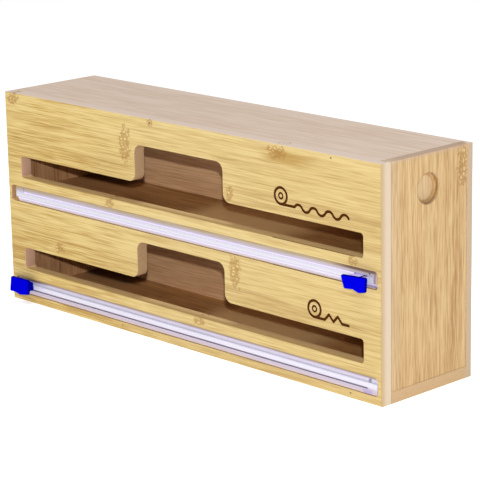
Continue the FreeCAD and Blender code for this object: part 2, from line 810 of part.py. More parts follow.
for item in doc.Objects:
    if "Invalid" in item.State or "Error" in item.State:
        raise ValueError("%s failed: %s" % (item.Name, item.State))
os.makedirs("parts", exist_ok=True)
for item in sub_parts:
    if item.Shape.isNull() or not item.Shape.isValid():
        raise ValueError("%s has no valid shape" % item.Label)
    box = item.Shape.BoundBox
    print("%-24s %2d solids %10.1f mm3  x %7.2f %7.2f  y %7.2f %7.2f  z %7.2f %7.2f" % (
        item.Label, len(item.Shape.Solids), item.Shape.Volume,
        box.XMin, box.XMax, box.YMin, box.YMax, box.ZMin, box.ZMax))
    item.Shape.exportStep("parts/%s.step" % item.Label)
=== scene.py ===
import math

import bmesh
import bpy
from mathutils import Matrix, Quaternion, Vector


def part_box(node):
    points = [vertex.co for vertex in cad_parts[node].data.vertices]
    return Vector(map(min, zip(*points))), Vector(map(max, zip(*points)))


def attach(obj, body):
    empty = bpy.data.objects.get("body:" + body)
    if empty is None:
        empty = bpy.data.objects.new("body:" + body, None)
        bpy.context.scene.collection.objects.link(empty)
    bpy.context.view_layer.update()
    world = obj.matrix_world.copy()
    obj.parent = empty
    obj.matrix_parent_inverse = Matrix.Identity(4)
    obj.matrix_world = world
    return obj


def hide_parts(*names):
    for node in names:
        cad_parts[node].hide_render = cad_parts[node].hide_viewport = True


# A bamboo dispenser for two kitchen rolls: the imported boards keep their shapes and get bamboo,
# and the rails, end plugs, slide cutters and blades are made again here with their real edges.
# Objects are in metres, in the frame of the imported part: X right, Y back, Z up.

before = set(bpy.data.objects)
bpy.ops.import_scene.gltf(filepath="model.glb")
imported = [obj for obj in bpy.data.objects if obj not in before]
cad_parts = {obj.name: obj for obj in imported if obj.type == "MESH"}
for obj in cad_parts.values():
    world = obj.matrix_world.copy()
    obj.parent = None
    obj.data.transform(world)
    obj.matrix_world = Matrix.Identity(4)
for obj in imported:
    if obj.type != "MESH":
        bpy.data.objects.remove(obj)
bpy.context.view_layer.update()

MM = 0.001


# ---------------------------------------------------------------- sizes and places, in millimetres

# the boards, with X counted from the middle of the box and Z from the surface it stands on
FACE_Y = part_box("front_panel")[0].y / MM
BOX_END = 165.0
BOX_TOP = 139.0
WINDOW_END = 151.0
MARKS_LEFT = 79.0
MARKS_RIGHT = 145.0
MARKS_LOW = 39.0
MARKS_HIGH = 118.0
RECESS_UP = 118.8
RECESS_RADIUS = 8.75

# the rails: how high the line of each one runs, where it ends, and its section, with Y counted
# from the front face inwards and heights from that line
RAIL_LINE = {"lower": 10.4, "upper": 72.4}
NEAR_END = -158.8
FAR_END = {"lower": 158.8, "upper": 154.2}
HALF_HEIGHT = 5.2
RAIL_BACK = 3.0
FLANGE_SUNK = 1.2
STEP_UP = 2.0
PROUD = -0.3
SLIT_TOP = -1.05
SLIT_LOW = -1.95
CHANNEL_TOP = 0.3
CHANNEL_LOW = -3.3
CHANNEL_ROOF = 0.9
CHANNEL_FLOOR = 2.3
LIP_PROUD = -0.1
LIP_SUNK = 0.6
PLUG_END = 2.8
PLUG_INSERT = 4.7
PLUG_ROUND = 2.2
PIN_FROM_END = 3.6
PIN_UP = 3.1
PIN_HEAD = 1.8
PLAY = 0.03

# the slide cutters, with X counted from the middle of each slider
SLIDER_PLACE = {"lower": -148.6, "upper": 148.6}
GRIP_FRONT = -7.0
GRIP_BACK = -5.0
SADDLE_LOW = -1.25
SADDLE_HIGH = 4.2
SADDLE_LEFT = -2.9
SADDLE_RIGHT = 5.7
SADDLE_BACK = -0.6
WEB_LOW = -1.75
WEB_HIGH = -1.45
BLADE_HIGH = -1.25
HALF_WEB = 3.0
HALF_FOOT = 5.4
FOOT_FRONT = 1.2
FOOT_BACK = 2.0
FOOT_LOW = -3.0
FOOT_HIGH = 0.0
BLADE_NECK = 2.5
BLADE_REACH = 5.2
BLADE_FRONT = GRIP_BACK - 1.2
BLADE_BACK = 1.1
NECK_GRIND = 0.2
EDGE_GRIND = 0.8


# ---------------------------------------------------------------- camera, light and floor

# places, distances and the lamps' widths in metres
CAMERA_AT = (0.9366, -0.8852, 0.3948)
CAMERA_AZIMUTH = 46.22
CAMERA_ELEVATION = 14.55
CAMERA_ROLL = -1.1
CAMERA_LENS = 162.0
CAMERA_SENSOR = 36.0
# lights as azimuth, elevation, distance, width of the lamp and power
KEY_LIGHT = (46.9, 17.2, 1.6, 0.028, 12.2)
TOP_LIGHT = (10.0, 78.0, 2.2, 1.2, 24.0)
LIT_MIDDLE = (0.0, 0.0, 0.07)
SURROUND = 0.34
FLOOR_GLOW = 0.50
HALF_FLOOR = 6.0
WHITE = (1.0, 1.0, 1.0, 1.0)


def towards(azimuth, elevation):
    """The unit vector from the object to something seen at that azimuth and elevation."""
    turn = math.radians(azimuth)
    rise = math.radians(elevation)
    return Vector((math.sin(turn) * math.cos(rise), -math.cos(turn) * math.cos(rise), math.sin(rise)))


def make_camera():
    data = bpy.data.cameras.new("camera")
    data.sensor_width = CAMERA_SENSOR
    data.lens = CAMERA_LENS
    camera = bpy.data.objects.new("camera", data)
    bpy.context.scene.collection.objects.link(camera)
    aim = (-towards(CAMERA_AZIMUTH, CAMERA_ELEVATION)).to_track_quat("-Z", "Y")
    camera.rotation_mode = "QUATERNION"
    camera.rotation_quaternion = aim @ Quaternion((0, 0, 1), math.radians(CAMERA_ROLL))
    camera.location = CAMERA_AT
    bpy.context.scene.camera = camera


def make_light(name, azimuth, elevation, distance, width, power):
    """A round soft lamp that looks at the middle of the box."""
    middle = Vector(LIT_MIDDLE)
    data = bpy.data.lights.new(name, "AREA")
    data.shape = "DISK"
    data.size = width
    data.energy = power
    lamp = bpy.data.objects.new(name, data)
    lamp.location = middle + towards(azimuth, elevation) * distance
    lamp.rotation_mode = "QUATERNION"
    lamp.rotation_quaternion = (middle - lamp.location).to_track_quat("-Z", "Y")
    bpy.context.scene.collection.objects.link(lamp)


def make_floor():
    mesh = bpy.data.meshes.new("floor")
    corners = [(-HALF_FLOOR, -HALF_FLOOR, 0), (HALF_FLOOR, -HALF_FLOOR, 0),
               (HALF_FLOOR, HALF_FLOOR, 0), (-HALF_FLOOR, HALF_FLOOR, 0)]
    mesh.from_pydata(corners, [], [(0, 1, 2, 3)])
    floor = bpy.data.objects.new("floor", mesh)
    bpy.context.scene.collection.objects.link(floor)
    paint = Shader("floor_paint")
    paint.set(roughness=0.9, colour=(0.9, 0.9, 0.9), specular=0.1)
    paint.surface.inputs["Emission Color"].default_value = WHITE
    paint.surface.inputs["Emission Strength"].default_value = FLOOR_GLOW
    mesh.materials.append(paint.material)


def make_room():
    world = bpy.data.worlds.new("studio")
    world.use_nodes = True
    background = world.node_tree.nodes["Background"]
    background.inputs["Color"].default_value = WHITE
    background.inputs["Strength"].default_value = SURROUND
    bpy.context.scene.world = world
    bpy.context.scene.view_settings.view_transform = "Standard"
    make_light("key_light", *KEY_LIGHT)
    make_light("top_light", *TOP_LIGHT)
    make_floor()


# ---------------------------------------------------------------- shader building

class Shader:
    """A material under construction. Its methods add nodes and return what comes out of them.

    Lengths inside a shader are millimetres.
    """

    def __init__(self, name):
        self.material = bpy.data.materials.new(name)
        self.material.use_nodes = True
        self.tree = self.material.node_tree
        self.surface = self.tree.nodes["Principled BSDF"]

    def node(self, kind, inputs, **settings):
        node = self.tree.nodes.new("ShaderNode" + kind)
        for key, setting in settings.items():
            setattr(node, key, setting)
        for key, given in inputs.items():
            self.feed(node.inputs[key], given)
        return node

    def feed(self, socket, given):
        if isinstance(given, bpy.types.NodeSocket):
            self.tree.links.new(given, socket)
        elif isinstance(given, tuple) and len(given) == 3 and socket.type == "RGBA":
            socket.default_value = given + (1.0,)
        else:
            socket.default_value = given

    def set(self, colour=None, roughness=None, specular=None, normal=None):
        wanted = {"Base Color": colour, "Roughness": roughness, "Specular IOR Level": specular,
                  "Normal": normal}
        for key, given in wanted.items():
            if given is not None:
                self.feed(self.surface.inputs[key], given)

    def place(self):
        """Where a point is in the part's frame, as three lengths."""
        source = self.node("TexCoord", {})
        scaled = self.node("VectorMath", {0: source.outputs["Object"], "Scale": 1 / MM}, operation="SCALE")
        return self.split(scaled.outputs[0])

    def facing(self):
        """How far the surface looks along each axis, as three numbers from -1 to 1."""
        return self.split(self.node("TexCoord", {}).outputs["Normal"])

    def split(self, vector):
        return list(self.node("SeparateXYZ", {0: vector}).outputs)

    def join(self, x, y, z):
        return self.node("CombineXYZ", {0: x, 1: y, 2: z}).outputs[0]

    def stretched(self, place, scales):
        """A place with each of its three lengths multiplied by its own number."""
        return self.join(*[self.times(length, scale) for length, scale in zip(place, scales)])

    def sum(self, a, b):
        return self.node("Math", {0: a, 1: b}, operation="ADD").outputs[0]

    def less(self, a, b):
        return self.node("Math", {0: a, 1: b}, operation="SUBTRACT").outputs[0]

    def times(self, a, b):
        return self.node("Math", {0: a, 1: b}, operation="MULTIPLY").outputs[0]

    def product(self, first, *others):
        """All of them multiplied, from the first to the last."""
        for other in others:
            first = self.times(first, other)
        return first

    def over(self, a, b):
        return self.node("Math", {0: a, 1: b}, operation="DIVIDE").outputs[0]

    def size(self, a):
        return self.node("Math", {0: a}, operation="ABSOLUTE").outputs[0]

    def floor(self, a):
        return self.node("Math", {0: a}, operation="FLOOR").outputs[0]

    def length(self, a, b):
        """How long the arrow with those two sides is."""
        return self.node("VectorMath", {0: self.join(a, b, 0.0)}, operation="LENGTH").outputs["Value"]

    def larger(self, a, b):
        return self.node("Math", {0: a, 1: b}, operation="MAXIMUM").outputs[0]

    def rise(self, a, low, high):
        """0 where a is at low or beyond it, 1 at high or beyond it, and a smooth step between."""
        inputs = {"Value": a, "From Min": low, "From Max": high}
        return self.node("MapRange", inputs, interpolation_type="SMOOTHSTEP").outputs[0]

    def between(self, a, low, full, still, high):
        """1 from full to still, 0 below low and above high, and smooth steps between."""
        return self.times(self.rise(a, low, full), self.rise(a, high, still))

    def noise(self, vector, detail=2.0, roughness=0.5, distortion=0.0):
        inputs = {"Vector": vector, "Scale": 1.0, "Detail": detail, "Roughness": roughness,
                  "Distortion": distortion}
        return self.node("TexNoise", inputs).outputs[0]

    def chance(self, value):
        """A random number from 0 to 1 for each whole value."""
        return self.node("TexWhiteNoise", {"W": value}, noise_dimensions="1D").outputs["Value"]

    def cells(self, vector, feature="F1"):
        inputs = {"Vector": vector, "Scale": 1.0, "Randomness": 1.0}
        return self.node("TexVoronoi", inputs, feature=feature).outputs["Distance"]

    def blend(self, factor, first, second):
        node = self.node("Mix", {}, data_type="RGBA")
        self.feed(node.inputs[0], factor)
        self.feed(node.inputs[6], first)
        self.feed(node.inputs[7], second)
        return node.outputs[2]

    def gradient(self, value, stops):
        node = self.node("ValToRGB", {0: value})
        ramp = node.color_ramp
        while len(ramp.elements) < len(stops):
            ramp.elements.new(0.5)
        for element, (position, tone) in zip(ramp.elements, stops):
            element.position = position
            element.color = tone + (1.0,)
        return node.outputs[0]

    def bump(self, height, distance, strength):
        inputs = {"Height": height, "Distance": distance, "Strength": strength}
        return self.node("Bump", inputs).outputs[0]


def linear(level):
    """One channel of a paint chart's colour, from 0 to 255, as linear light."""
    share = level / 255
    return share / 12.92 if level <= 10 else ((share + 0.055) / 1.055) ** 2.4


def colour(red, green, blue):
    """A colour given the way a paint chart gives it, as linear light."""
    return tuple(linear(level) for level in (red, green, blue))


# ---------------------------------------------------------------- bamboo

AXES = {"x": 0, "y": 1, "z": 2}
WIDE_STRIP = 20.2
NARROW_STRIP = 6.6
GLUE_LINE = 0.20
# the upright boards are short, and so are their patterns
SHORT_REACH = 0.62
# neighbouring strips are cut from places up to this far apart along the grain
STRIP_SHIFT = 900.0
# how much each pattern, and the strip's own luck, count in the tone of the wood
FINE_SHARE = 0.26
STREAK_SHARE = 0.48
BAND_SHARE = 0.16
BROAD_SHARE = 0.10
LUCK_SHARE = 0.08
WOOD_ROUGHNESS = 0.52
WOOD_SHINE = 0.3
WOOD_RELIEF = 0.03


class Bamboo:
    """One board's bamboo: strips glued side by side, fibres along the grain, and end grain.

    The strips are pitch wide, and one of them begins at start. A line of the grain is about fibre
    wide, reach draws the patterns out along the grain, and another seed gives other strips.
    """

    def __init__(self, name, grain, across, light, middle, dark, end, pitch=WIDE_STRIP, start=3.0,
                 fibre=0.40, reach=1.0, seed=0.0):
        self.grain = grain
        self.shader = s = Shader(name)
        self.at = s.place()
        self.facing = s.facing()
        through = ({"x", "y", "z"} - {grain, across}).pop()
        along = self.at[AXES[grain]]
        side = self.at[AXES[across]]
        deep = self.at[AXES[through]]
        strip_place = s.over(s.less(side, start), pitch)
        strip = s.floor(strip_place)
        luck = s.chance(s.sum(strip, seed))
        along = s.sum(along, s.times(luck, STRIP_SHIFT))

        def pattern(length, width, detail=2.0, roughness=0.5, distortion=0.0):
            vector = s.join(s.times(along, 1 / (length * reach)), s.times(side, 1 / width),
                            s.times(deep, 1 / width))
            return s.noise(vector, detail, roughness, distortion)

        self.pattern = pattern
        # the tone comes from four patterns and the strip's own luck
        fine = pattern(18.0, fibre, 1.0)
        streak = pattern(30.0, fibre * 2.0, 2.0, 0.6, 0.25)
        band = pattern(60.0, fibre * 7.0, 1.0)
        broad = pattern(80.0, 12.0, 0.0)
        tone = s.sum(s.times(fine, FINE_SHARE), s.times(streak, STREAK_SHARE))
        tone = s.sum(tone, s.times(band, BAND_SHARE))
        tone = s.sum(tone, s.times(broad, BROAD_SHARE))
        tone = s.sum(tone, s.times(s.less(luck, 0.5), LUCK_SHARE))
        self.face = s.gradient(tone, ((0.37, dark), (0.485, middle), (0.58, light)))

        # thin dark vessels, and the glue line between two strips
        vessel = s.rise(pattern(34.0, fibre * 1.4, 0.0), 0.60, 0.74)
        self.face = s.blend(s.times(vessel, 0.38), self.face, dark)
        from_seam = s.size(s.less(s.less(strip_place, strip), 0.5))
        seam = s.rise(from_seam, 0.5 - GLUE_LINE / pitch, 0.5)
        self.face = s.blend(s.times(seam, 0.45), self.face, dark)

        # end grain: cut fibres show as dots
        dots = s.cells(s.join(s.times(side, 1.4), s.times(deep, 1.4), s.times(along, 0.2)))
        end_tone = s.blend(s.times(s.rise(dots, 0.45, 0.1), 0.35), end, dark)
        self.ends = s.rise(s.size(self.facing[AXES[grain]]), 0.6, 0.8)
        self.colour = s.blend(self.ends, self.face, end_tone)
        self.height = s.sum(s.times(fine, 0.6), s.times(streak, 0.4))

    def tint(self, factor, stain_or_painted_light):
        """Stain the board, or paint light or shade on it, by that factor, which may vary over it."""
        self.colour = self.shader.blend(factor, self.colour, stain_or_painted_light)

    def knots(self, places, horizontal, vertical, zero):
        """Bamboo nodes: pale cells in a brown net across a strip.

        Each is at (along, up, width, height), with `along` counted from zero on the horizontal axis.
        """
        s = self.shader
        # a patch with a ragged edge at each place
        ragged = s.noise(s.stretched(self.at, (0.4, 0.4, 0.4)), 1.0)
        cover = 0.0
        for x, z, wide, high in places:
            across = s.over(s.less(self.at[AXES[horizontal]], zero + x), wide / 2)
            up = s.over(s.less(self.at[AXES[vertical]], z), high / 2)
            reach = s.sum(s.length(across, up), s.times(s.less(ragged, 0.5), 1.6))
            cover = s.larger(cover, s.rise(reach, 1.1, 0.7))
        # and in it brown walls between pale cells, which are longer along the grain
        scales = [0.54, 0.54, 0.54]
        scales[AXES[self.grain]] = 0.35
        wall = s.cells(s.stretched(self.at, scales), "DISTANCE_TO_EDGE")
        self.tint(s.times(cover, 0.34), KNOT_BROWN)
        self.tint(s.product(cover, s.rise(wall, 0.20, 0.02), 0.52), KNOT_BROWN)
        self.tint(s.product(cover, s.rise(wall, 0.20, 0.36), 0.60), KNOT_HEART)

    def finish(self):
        s = self.shader
        s.set(colour=self.colour, roughness=WOOD_ROUGHNESS, specular=WOOD_SHINE,
              normal=s.bump(self.height, WOOD_RELIEF * MM, 0.6))
        return s.material


YELLOW_LIGHT = colour(219, 194, 128)
YELLOW_MIDDLE = colour(203, 173, 102)
YELLOW_DARK = colour(168, 129, 56)
YELLOW_PALE = colour(200, 182, 138)
TAN_LIGHT = colour(229, 210, 193)
TAN_MIDDLE = colour(221, 198, 179)
TAN_DARK = colour(209, 184, 163)
DOOR_LIGHT = colour(214, 184, 134)
DOOR_MIDDLE = colour(198, 162, 112)
DOOR_DARK = colour(164, 124, 74)
DOOR_PALE = colour(222, 200, 166)
RECESS_RIM_SHADE = colour(126, 92, 52)
BACK_LIGHT = colour(232, 192, 148)
BACK_MIDDLE = colour(220, 175, 131)
BACK_DARK = colour(200, 154, 111)
SHELF_LIGHT = colour(204, 156, 98)
SHELF_MIDDLE = colour(182, 134, 80)
SHELF_DARK = colour(134, 88, 46)
PAINTED_LIGHT_POOL = colour(236, 198, 142)
CORNER_SHADE = colour(28, 10, 6)
# the left board's tones are darkened, a painted shade for the inside of the box
LEFT_SHADED_LIGHT = colour(188, 144, 104)
LEFT_SHADED_MIDDLE = colour(170, 124, 86)
LEFT_SHADED_DARK = colour(130, 86, 54)
CREAM = colour(212, 193, 168)
BACK_END = colour(190, 168, 140)
DOOR_END = colour(191, 164, 142)
PLY = colour(192, 166, 124)
PLY_SHADE = colour(170, 142, 100)
TOP_EDGE = colour(224, 204, 188)
BASE_END = colour(198, 166, 124)
SILL = colour(184, 153, 100)
SILL_BACK_PAINTED_LIGHT = colour(250, 214, 156)
SLOT_END_PAINTED_LIGHT = colour(206, 168, 148)
ROUTED = colour(172, 137, 106)
GROOVE_EDGE_SHADE = colour(132, 112, 92)
KNOT_BROWN = colour(156, 112, 48)
KNOT_HEART = colour(232, 208, 146)
BURNED = colour(84, 46, 18)

# bamboo nodes as (along, up, width, height), along from the left end and from the front face
FRONT_KNOTS = ((8, 135.5, 12, 8), (118, 121, 10, 24), (141, 137, 5, 4), (250, 134.5, 14, 9),
               (210, 104.5, 6, 11), (101, 80.5, 9, 7), (308, 80.5, 8, 6), (213, 57.5, 10, 22),
               (50, 42.5, 10, 7), (181, 20, 10, 5))
DOOR_KNOTS = ((68, 127.0, 9, 25),)
# the pool of painted light on each bay's floor, from and to along the box
BASE_LIGHT_POOL = (-24.0, 72.0)
SHELF_LIGHT_POOL = (-28.0, 58.0)


def front_bamboo():
    wood = Bamboo("bamboo_front", "x", "z", YELLOW_LIGHT, YELLOW_MIDDLE, YELLOW_DARK, ROUTED,
                  start=7.6, fibre=0.36)
    s = wood.shader
    x, y, z = wood.at
    # paler towards the right, but a little browner again beyond the middle
    wood.tint(s.times(s.rise(x, -130.0, 20.0), 0.30), YELLOW_PALE)
    wood.tint(s.times(s.rise(x, 30.0, 120.0), 0.07), YELLOW_DARK)
    # longer brown streaks low on the left
    smudge = s.rise(wood.pattern(58.0, 2.6, 1.0), 0.54, 0.68)
    low_left = s.times(s.rise(z, 84.0, 60.0), s.rise(x, 30.0, -60.0))
    wood.tint(s.product(smudge, low_left, 0.50), YELLOW_DARK)
    # a brown smudge beside the knot under the top edge
    beside = s.times(s.between(x, 68.0, 82.0, 96.0, 126.0), s.between(z, 126.5, 130.0, 134.5, 137.5))
    streaks = s.rise(wood.pattern(30.0, 2.4, 1.0), 0.24, 0.50)
    wood.tint(s.product(beside, streaks, 0.75), YELLOW_DARK)
    # the cut edges of the windows and grooves are browner than the face; their sills are painted paler
    # inwards, painted light that lifts the shade at the back of each sill
    cut = s.times(s.rise(s.size(wood.facing[2]), 0.4, 0.8), s.rise(y, FACE_Y + 0.12, FACE_Y + 0.4))
    lit_sill = s.blend(s.rise(y, FACE_Y + 0.8, FACE_Y + 7.0), SILL, SILL_BACK_PAINTED_LIGHT)
    wood.tint(s.times(cut, 0.85), s.blend(s.rise(wood.facing[2], -0.2, 0.2), ROUTED, lit_sill))
    # the ends of the windows are painted paler than the sides of the notches, painted light that lifts the
    # shade deep in the windows
    lit_window_end = s.between(s.size(x), WINDOW_END - 2.0, WINDOW_END - 1.0, WINDOW_END + 1.0, WINDOW_END + 2.0)
    wood.tint(s.product(lit_window_end, s.rise(s.size(wood.facing[0]), 0.6, 0.9), 0.6), SLOT_END_PAINTED_LIGHT)
    # the sawn ends go from the face's yellow to cream, with painted shade at both corners: a painted
    # shadow line at the gap to the door, and a darker rounded front edge
    outside = s.rise(s.size(x), BOX_END - 1.0, BOX_END - 0.6)
    sawn = s.blend(s.rise(y, FACE_Y - 0.4, FACE_Y + 4.6), PLY, CREAM)
    sawn = s.blend(s.times(s.rise(y, FACE_Y + 7.2, FACE_Y + 7.8), 0.8), sawn, PLY_SHADE)
    wood.colour = s.blend(s.times(outside, wood.ends), wood.colour, sawn)
    wood.tint(s.product(outside, s.rise(y, FACE_Y + 0.7, FACE_Y + 0.3), 0.6), PLY_SHADE)
    # painted shade darkens the wood along the top of the lower groove
    edge = s.less(z, RAIL_LINE["lower"] + HALF_HEIGHT)
    groove_edge_shade = s.times(s.between(edge, 0.0, 0.1, 0.5, 1.0), s.rise(s.size(x), BOX_END - 3.0, BOX_END - 6.0))
    wood.tint(s.times(groove_edge_shade, 0.65), GROOVE_EDGE_SHADE)
    # its top edge is as pale as the lid behind it
    wood.tint(s.times(s.rise(wood.facing[2], 0.7, 0.9), s.rise(z, BOX_TOP - 1.0, BOX_TOP - 0.4)), TOP_EDGE)
    wood.knots(FRONT_KNOTS, "x", "z", -BOX_END)
    # the burned marks are shallow cuts: in their area no other face lies so close under the front one
    burn = s.between(y, FACE_Y + 0.08, FACE_Y + 0.25, FACE_Y + 0.7, FACE_Y + 0.9)
    in_marks = s.times(s.between(x, MARKS_LEFT, MARKS_LEFT + 1.0, MARKS_RIGHT - 1.0, MARKS_RIGHT),
                       s.between(z, MARKS_LOW, MARKS_LOW + 1.0, MARKS_HIGH - 1.0, MARKS_HIGH))
    burn = s.times(burn, in_marks)
    wood.tint(burn, BURNED)
    material = wood.finish()
    # and the burned wood doesn't shine
    s.feed(s.surface.inputs["Specular IOR Level"], s.less(WOOD_SHINE, s.times(burn, WOOD_SHINE)))
    return material


def back_bamboo():
    wood = Bamboo("bamboo_back", "x", "z", BACK_LIGHT, BACK_MIDDLE, BACK_DARK, BACK_END, seed=11.0)
    s = wood.shader
    top_edge = s.times(s.rise(wood.facing[2], 0.2, 0.7), s.rise(wood.at[2], BOX_TOP - 2.0, BOX_TOP - 0.6))
    wood.tint(top_edge, TOP_EDGE)
    return wood.finish()


def top_bamboo():
    wood = Bamboo("bamboo_top", "x", "y", TAN_LIGHT, TAN_MIDDLE, TAN_DARK, CREAM, seed=23.0)
    return wood.finish()


def level_bamboo(name, seed, light_pool):
    """The floor of a bay: the base, or the shelf between the rolls."""
    wood = Bamboo(name, "x", "y", SHELF_LIGHT, SHELF_MIDDLE, SHELF_DARK, BASE_END, seed=seed)
    s = wood.shader
    x, y, z = wood.at
    # the underside of the box is paler
    under = s.times(s.rise(wood.facing[2], -0.5, -0.9), s.rise(z, 3.0, 1.0))
    wood.tint(s.times(under, 0.5), BACK_LIGHT)
    # painted light: the floor is painted paler at its left end, and a pool of light is painted on it
    # behind the finger notch
    upper_face = s.rise(wood.facing[2], 0.5, 0.8)
    wood.tint(s.product(upper_face, s.rise(x, -84.0, -112.0), 0.2), BACK_LIGHT)
    first, last = light_pool
    behind = s.between(x, first - 12.0, first + 12.0, last - 16.0, last + 16.0)
    wood.tint(s.product(behind, upper_face, 0.95), PAINTED_LIGHT_POOL)
    # painted shadow darkens the back left corner of each floor, where no light reaches
    corner = s.times(s.rise(x, -104.0, -122.0), s.rise(y, 15.5, 20.0))
    wood.tint(s.product(corner, upper_face, 0.8), CORNER_SHADE)
    return wood.finish()


def left_bamboo():
    wood = Bamboo("bamboo_left", "z", "y", LEFT_SHADED_LIGHT, LEFT_SHADED_MIDDLE, LEFT_SHADED_DARK, DOOR_END,
                  pitch=NARROW_STRIP, start=1.0, reach=SHORT_REACH, seed=5.0)
    s = wood.shader
    # the board's tones are darkened as painted shade for the inside of the box; its outer face is brought
    # back most of the way to the door's tone, and its inner face a little
    wood.tint(s.times(s.rise(wood.facing[0], -0.5, -0.9), 0.62), DOOR_LIGHT)
    wood.tint(s.times(s.rise(wood.facing[0], 0.5, 0.9), 0.10), DOOR_LIGHT)
    return wood.finish()


def door_bamboo():
    wood = Bamboo("bamboo_door", "z", "y", DOOR_LIGHT, DOOR_MIDDLE, DOOR_DARK, DOOR_END,
                  pitch=NARROW_STRIP, start=1.0, fibre=0.34, reach=SHORT_REACH, seed=9.0)
    s = wood.shader
    x, y, z = wood.at
    # its end-grain tone along its top edge, paler next to the front board, and a little browner lower down
    wood.tint(s.times(s.rise(z, BOX_TOP - 2.4, BOX_TOP - 0.4), 0.55), DOOR_END)
    wood.tint(s.times(s.rise(y, FACE_Y + 18.5, FACE_Y + 8.5), 0.35), DOOR_PALE)
    wood.tint(s.times(s.rise(z, 115.0, 75.0), 0.08), DOOR_DARK)
    # painted shade darkens the wall of the finger recess, and its floor is paler
    out = s.length(y, s.less(z, RECESS_UP))
    inside = s.between(x, BOX_END - 4.8, BOX_END - 3.8, BOX_END - 1.0, BOX_END - 0.4)
    shaded_wall = s.between(out, RECESS_RADIUS - 2.2, RECESS_RADIUS - 1.2, RECESS_RADIUS + 0.2,
                          RECESS_RADIUS + 0.4)
    wood.tint(s.product(shaded_wall, inside, 0.55), DOOR_DARK)
    on_floor = s.between(x, BOX_END - 4.8, BOX_END - 3.8, BOX_END - 2.7, BOX_END - 2.2)
    off_wall = s.rise(out, RECESS_RADIUS - 1.2, RECESS_RADIUS - 2.2)
    wood.tint(s.product(on_floor, off_wall, 0.3), DOOR_PALE)
    # and a fine line of painted shade runs round its rim
    from_rim = s.size(s.less(out, RECESS_RADIUS + 0.2))
    rim_shade = s.times(s.rise(from_rim, 0.55, 0.2), s.rise(x, BOX_END - 2.5, BOX_END - 1.5))
    wood.tint(s.times(rim_shade, 0.45), RECESS_RIM_SHADE)
    wood.knots(DOOR_KNOTS, "y", "z", FACE_Y)
    return wood.finish()


def dress(node, material):
    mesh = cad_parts[node].data
    mesh.materials.clear()
    mesh.materials.append(material)


def dress_boards():
    finishes = {"front_panel": front_bamboo(), "back_panel": back_bamboo(), "top_board": top_bamboo(),
                "base_board": level_bamboo("bamboo_base", 31.0, BASE_LIGHT_POOL),
                "middle_shelf": level_bamboo("bamboo_shelf", 47.0, SHELF_LIGHT_POOL),
                "left_side_panel": left_bamboo(), "side_door": door_bamboo()}
    for node, material in finishes.items():
        dress(node, material)


# ---------------------------------------------------------------- plastic, steel and tape

# the plastic's tint across each rail with painted light and shade in it, and a painted shadow of the
# groove's edge along the top, as (height, colour) from the bottom of each rail to its top
LOWER_TINT_AND_SHADE = ((-5.2, colour(205, 186, 180)), (-4.2, colour(194, 178, 184)), (-3.2, colour(182, 168, 183)),
              (-2.0, colour(188, 178, 196)), (-1.0, colour(204, 200, 214)), (0.4, colour(216, 213, 228)),
              (1.4, colour(212, 210, 224)), (2.2, colour(206, 205, 223)), (3.3, colour(216, 209, 230)),
              (4.0, colour(196, 184, 202)), (4.6, colour(146, 130, 142)), (5.2, colour(106, 90, 108)))
UPPER_TINT_AND_SHADE = ((-5.2, colour(226, 208, 200)), (-4.4, colour(222, 208, 210)), (-3.6, colour(200, 192, 206)),
              (-2.6, colour(164, 155, 184)), (-1.8, colour(196, 194, 214)), (-0.8, colour(210, 210, 216)),
              (0.4, colour(203, 200, 212)), (1.1, colour(208, 204, 222)), (2.0, colour(190, 180, 200)),
              (3.0, colour(178, 165, 162)), (3.8, colour(172, 156, 136)), (4.6, colour(186, 164, 130)),
              (5.2, colour(165, 140, 108)))
RAIL_TINT_AND_SHADE = {"lower": LOWER_TINT_AND_SHADE, "upper": UPPER_TINT_AND_SHADE}
# painted shade near the right ends of the rails, with a painted shadow of the upper slider and the wood
# seen through the upper plug's tip: from and to along the rail, from and to up it, colour and strength
LOWER_END_SHADING = ((150.5, 157.5, -5.2, -2.4, colour(160, 136, 196), 0.6),)
UPPER_END_SHADING = ((159.2, 163.0, -6.0, 6.0, colour(140, 112, 116), 0.8),
                (160.8, 163.0, -6.0, 6.0, colour(196, 170, 142), 0.9),
                (151.5, 160.0, -4.6, -2.4, colour(112, 90, 140), 0.8))
RAIL_END_SHADING = {"lower": LOWER_END_SHADING, "upper": UPPER_END_SHADING}
# where along each rail the groove's shadow begins to show, and where it shows in full
RAIL_SHADOW = {"lower": (-126.0, -146.0), "upper": (122.0, 142.0)}
SLIT_GLOW = {"lower": 0.0, "upper": 0.45}
HAZE = colour(212, 204, 232)
GROOVE_SHADOW = colour(104, 70, 66)
GLOW_TINT = colour(220, 214, 236)
BLUE_LOW = (0.0004, 0.0004, 0.58)
BLUE_HIGH = (0.0006, 0.0006, 0.66)
BLUE_RIM_SHADE = (0.0006, 0.0006, 0.22)
SADDLE_TOP_LIGHTING = {"lower": (0.002, 0.002, 0.16), "upper": colour(190, 184, 240)}
BLUE_RELIEF = 0.01
BLADE_BRIGHT = colour(206, 208, 212)
BRAD_BRIGHT = colour(132, 122, 108)
PIN_BRIGHT = colour(150, 154, 170)
FOAM_LOW = colour(224, 220, 230)
FOAM_HIGH = colour(240, 236, 244)


